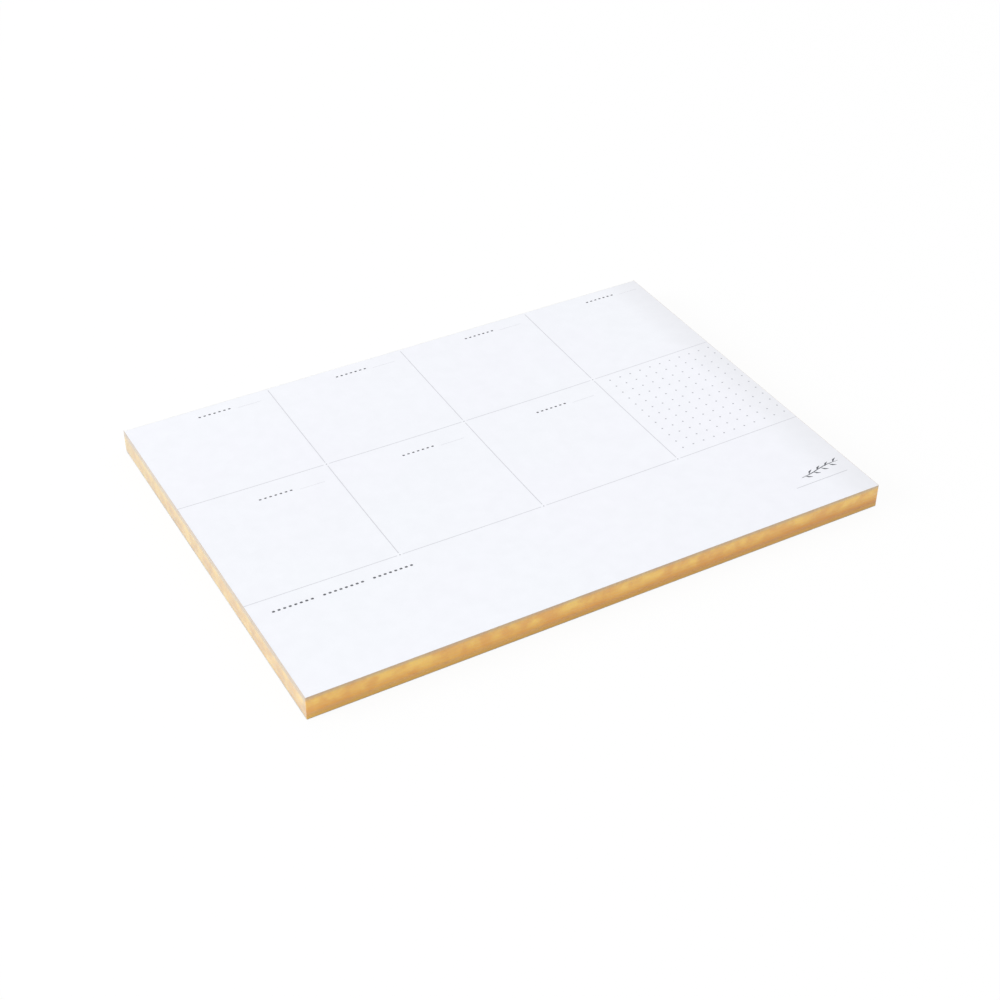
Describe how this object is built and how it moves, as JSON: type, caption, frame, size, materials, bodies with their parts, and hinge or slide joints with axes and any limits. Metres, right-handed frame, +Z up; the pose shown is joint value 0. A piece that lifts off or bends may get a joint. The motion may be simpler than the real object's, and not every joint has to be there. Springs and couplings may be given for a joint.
{
  "type": "weekly planner pad",
  "caption": "Landscape desk pad of ruled planner sheets, glued along the back edge to a chipboard back and gilded on its trimmed edges, with a dot grid panel.",
  "frame": {"origin": "middle of the underside, on the surface that the pad lies on", "axes": "+X to the right along the front edge, +Y from the front edge to the glued back edge, +Z up"},
  "size_m": [0.2546, 0.184, 0.0106],
  "materials": {
    "uncoated_paper": "matte",
    "chipboard": "matte",
    "gold_foil": "satin",
    "padding_glue": "satin"
  },
  "bodies": {
    "root": {"sheet_block": "uncoated_paper", "backing_board": "chipboard", "gilt_edge": "gold_foil", "padding_glue": "padding_glue"}
  },
  "joints": []
}
